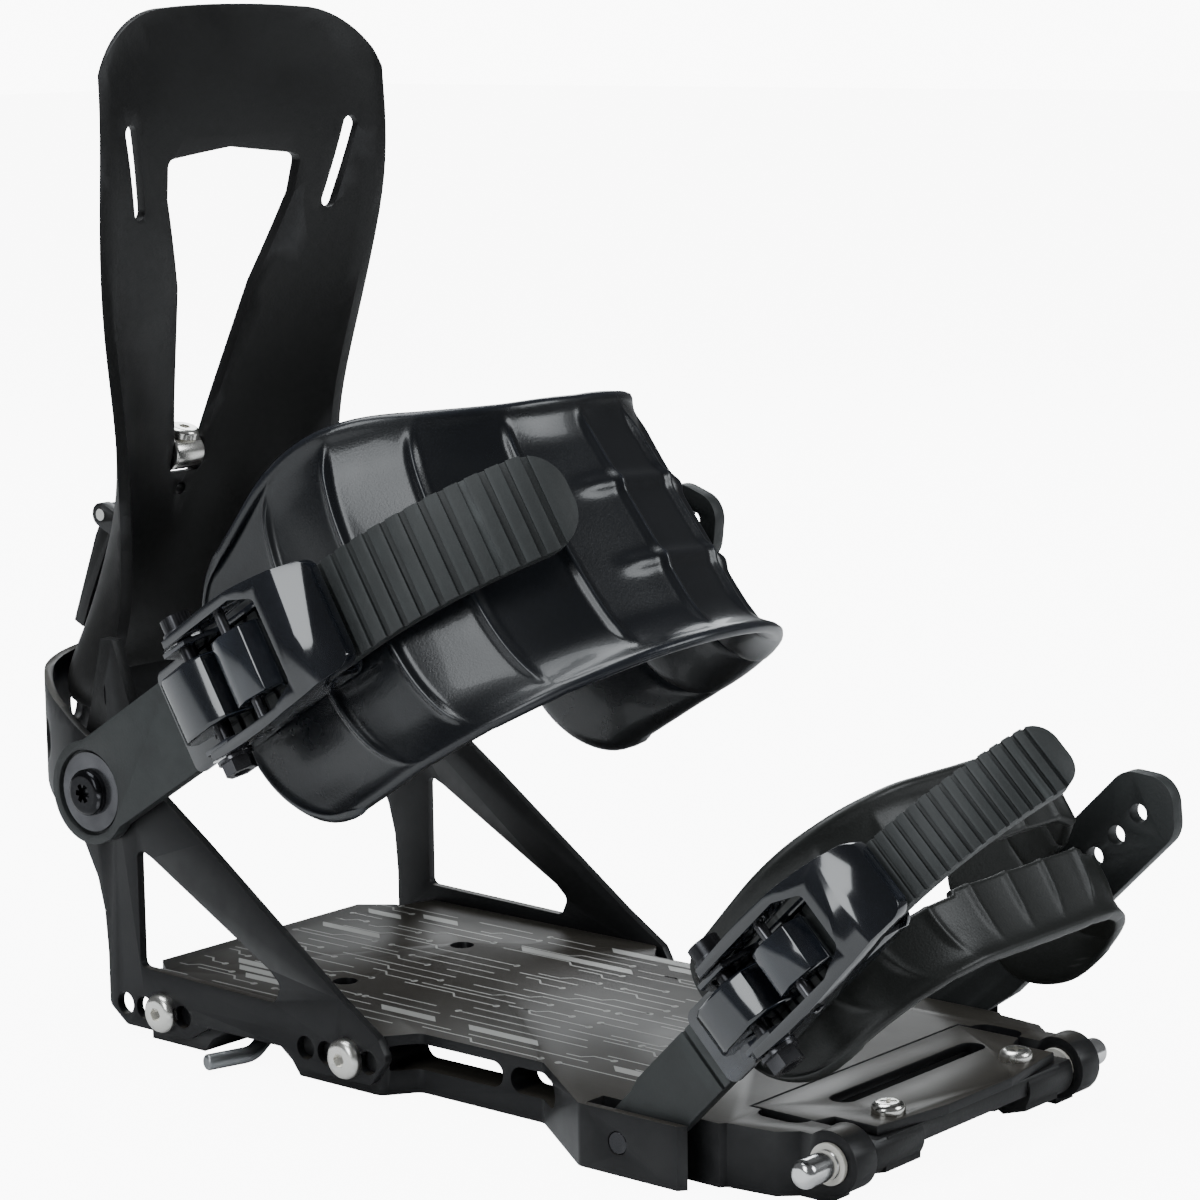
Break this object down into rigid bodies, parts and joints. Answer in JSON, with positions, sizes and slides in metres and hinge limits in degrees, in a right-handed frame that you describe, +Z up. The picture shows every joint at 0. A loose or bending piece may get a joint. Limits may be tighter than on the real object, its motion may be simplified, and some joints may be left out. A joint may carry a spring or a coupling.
{
  "type": "splitboard binding",
  "caption": "Right-foot board binding with hinged highback, ratchet ankle and toe straps, slide-on base plate and a lifting toe ramp with touring pins.",
  "frame": {"origin": "middle of the base plate on the plane of its sole", "axes": "+Z up, -Y towards the toe, -X the side with the buckles"},
  "size_m": [0.1278, 0.3105, 0.2454],
  "materials": {
    "black_anodised": "satin black anodised aluminium",
    "stainless": "stainless steel",
    "bright_steel": "polished steel",
    "pale_bushing": "pale flanged bushing",
    "grey_steel": "dull grey steel",
    "black_steel": "black oxide steel",
    "gloss_black_metal": "high-gloss black",
    "gloss_black_polymer": "gloss black polymer",
    "black_nylon": "satin black nylon",
    "strap_polymer": "dark grey strap polymer",
    "ankle_pad_tpu": "satin moulded elastomer",
    "toe_pad_rubber": "matte moulded rubber"
  },
  "bodies": {
    "base": {"base_plate": "black_anodised", "heel_loop": "black_anodised", "side_screws": "stainless", "pivot_screws": "black_steel", "pivot_washers": "black_steel", "pivot_spacers": "black_nylon", "pivot_nuts": "black_steel", "pin_bushings": "pale_bushing", "toe_hinge_pins": "black_steel", "rail_bar": "grey_steel"},
    "highback": {"highback": "black_nylon", "lean_barrel": "stainless", "lean_screw": "stainless", "lean_pin": "stainless"},
    "lean_lever": {"lean_lever": "black_nylon"},
    "ankle_strap": {"ankle_ladder": "strap_polymer", "ankle_pad": "ankle_pad_tpu", "ankle_far_strap": "strap_polymer", "ankle_far_screws": "black_steel", "ankle_buckle_frame": "gloss_black_metal", "ankle_buckle_screw": "black_steel", "ankle_axle_screw": "black_steel", "ankle_axle_nut": "black_steel", "ankle_release_spring": "bright_steel"},
    "ankle_lever": {"ankle_buckle_lever": "gloss_black_metal", "ankle_pawl_pin": "black_steel"},
    "ankle_pawl": {"ankle_drive_pawl": "gloss_black_polymer"},
    "ankle_release": {"ankle_release_tab": "gloss_black_polymer"},
    "toe_strap": {"toe_ladder": "strap_polymer", "toe_pad": "toe_pad_rubber", "toe_far_strap": "strap_polymer", "toe_far_screws": "black_steel", "toe_buckle_frame": "gloss_black_metal", "toe_buckle_screw": "black_steel", "toe_axle_screw": "black_steel", "toe_axle_nut": "black_steel", "toe_release_spring": "bright_steel"},
    "toe_lever": {"toe_buckle_lever": "gloss_black_metal", "toe_pawl_pin": "black_steel"},
    "toe_pawl": {"toe_drive_pawl": "gloss_black_polymer"},
    "toe_release": {"toe_release_tab": "gloss_black_polymer"},
    "ramp": {"ramp_plate": "black_anodised", "ramp_body": "black_nylon", "ramp_screws": "stainless"},
    "near_pin": {"touring_pin_near": "bright_steel"},
    "far_pin": {"touring_pin_far": "bright_steel"}
  },
  "joints": [
    {"name": "highback_hinge", "type": "hinge", "parent": "base", "child": "highback", "pos_m": [0, 0.1062, 0.0601], "axis": [1, 0, 0], "range_deg": [0, 22]},
    {"name": "lean_lever_flip", "type": "hinge", "parent": "highback", "child": "lean_lever", "pos_m": [0, 0.14178, 0.1195], "axis": [1, 0, 0], "range_deg": [0, 110]},
    {"name": "ankle_strap_swing", "type": "hinge", "parent": "base", "child": "ankle_strap", "pos_m": [0, 0.1062, 0.0601], "axis": [1, 0, 0], "range_deg": [-12, 25]},
    {"name": "ankle_lever_lift", "type": "hinge", "parent": "ankle_strap", "child": "ankle_lever", "pos_m": [-0.0623, 0.05786, 0.0903], "axis": [0, -0.5299, -0.848], "range_deg": [0, 70]},
    {"name": "ankle_pawl_turn", "type": "hinge", "parent": "ankle_lever", "child": "ankle_pawl", "pos_m": [-0.0641, 0.04472, 0.09852], "axis": [0, -0.5299, -0.848], "range_deg": [0, 20], "stiffness_Nm_per_rad": 0.02, "springref_deg": -11.46},
    {"name": "ankle_release_press", "type": "hinge", "parent": "ankle_strap", "child": "ankle_release", "pos_m": [-0.0623, 0.05786, 0.0903], "axis": [0, -0.5299, -0.848], "range_deg": [0, 14], "stiffness_Nm_per_rad": 0.05, "springref_deg": -11.46},
    {"name": "toe_strap_swing", "type": "hinge", "parent": "base", "child": "toe_strap", "pos_m": [0, -0.0598, 0.0072], "axis": [1, 0, 0], "range_deg": [-25, 15]},
    {"name": "toe_lever_lift", "type": "hinge", "parent": "toe_strap", "child": "toe_lever", "pos_m": [-0.06163, -0.09607, 0.04424], "axis": [0, -0.7145, -0.6997], "range_deg": [0, 70]},
    {"name": "toe_pawl_turn", "type": "hinge", "parent": "toe_lever", "child": "toe_pawl", "pos_m": [-0.06288, -0.10695, 0.05535], "axis": [0, -0.7145, -0.6997], "range_deg": [0, 20], "stiffness_Nm_per_rad": 0.02, "springref_deg": -11.46},
    {"name": "toe_release_press", "type": "hinge", "parent": "toe_strap", "child": "toe_release", "pos_m": [-0.06163, -0.09607, 0.04424], "axis": [0, -0.7145, -0.6997], "range_deg": [0, 14], "stiffness_Nm_per_rad": 0.05, "springref_deg": -11.46},
    {"name": "ramp_lift", "type": "hinge", "parent": "base", "child": "ramp", "pos_m": [0, -0.1055, 0.0086], "axis": [1, 0, 0], "range_deg": [0, 95]},
    {"name": "near_pin_slide", "type": "slide", "parent": "base", "child": "near_pin", "axis": [1, 0, 0], "range_m": [0, 0.0072]},
    {"name": "far_pin_slide", "type": "slide", "parent": "base", "child": "far_pin", "axis": [-1, 0, 0], "range_m": [0, 0.0072]}
  ],
  "couplings": [
    {"joint": "near_pin_slide", "follows": "ramp_lift", "m_per_rad": 0.0042},
    {"joint": "far_pin_slide", "follows": "ramp_lift", "m_per_rad": 0.0042}
  ]
}
